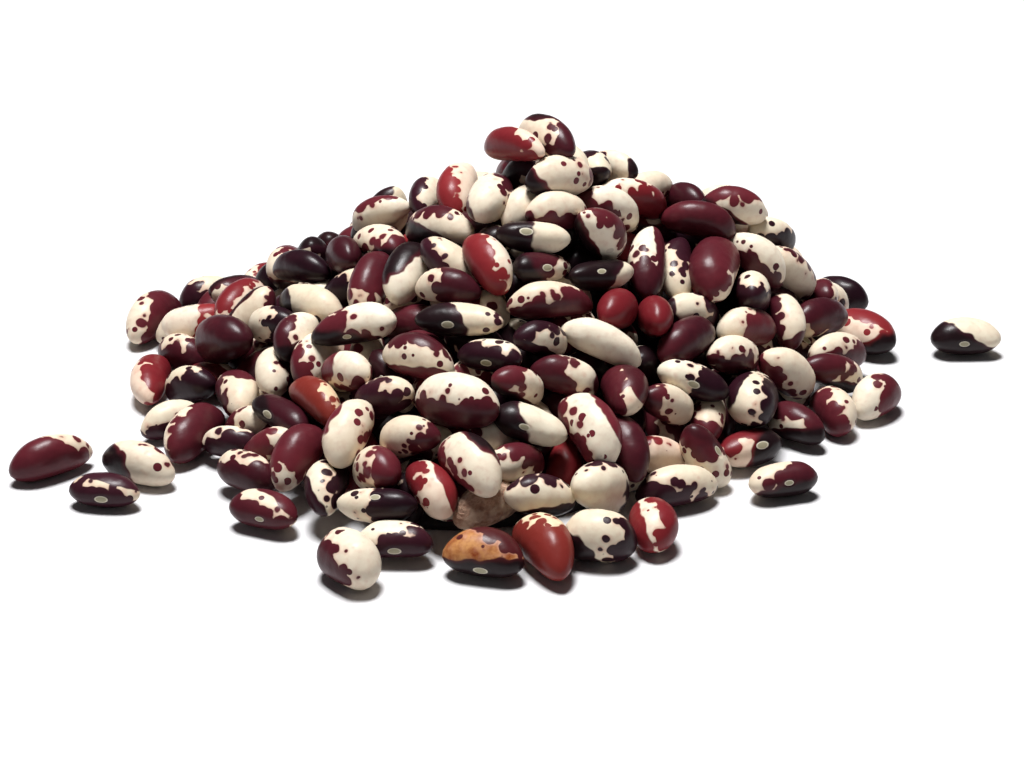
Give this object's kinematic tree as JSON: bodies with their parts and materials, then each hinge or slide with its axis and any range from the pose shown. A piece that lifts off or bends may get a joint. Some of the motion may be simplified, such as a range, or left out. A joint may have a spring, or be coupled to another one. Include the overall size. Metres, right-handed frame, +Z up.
{
  "type": "heap of dried beans",
  "caption": "Cone-shaped heap of dried speckled maroon and cream kidney beans on a bare surface, with a few loose beans beside it.",
  "frame": {"origin": "on the surface the heap lies on, under the middle of its cone", "axes": "+Z up, +X to the right along the heap's width as seen from the front, +Y to the back"},
  "size_m": [0.1857, 0.1518, 0.0546],
  "materials": {
    "maroon_skin": "satin seed coat, dark maroon with cream patches and spots",
    "cream_skin": "satin seed coat, cream with maroon patches and spots"
  },
  "bodies": {
    "root": {"bean_heap": "maroon_skin", "loose_bean_1": "maroon_skin", "loose_bean_2": "maroon_skin", "loose_bean_3": "cream_skin", "loose_bean_4": "maroon_skin", "loose_bean_5": "cream_skin"}
  },
  "joints": []
}
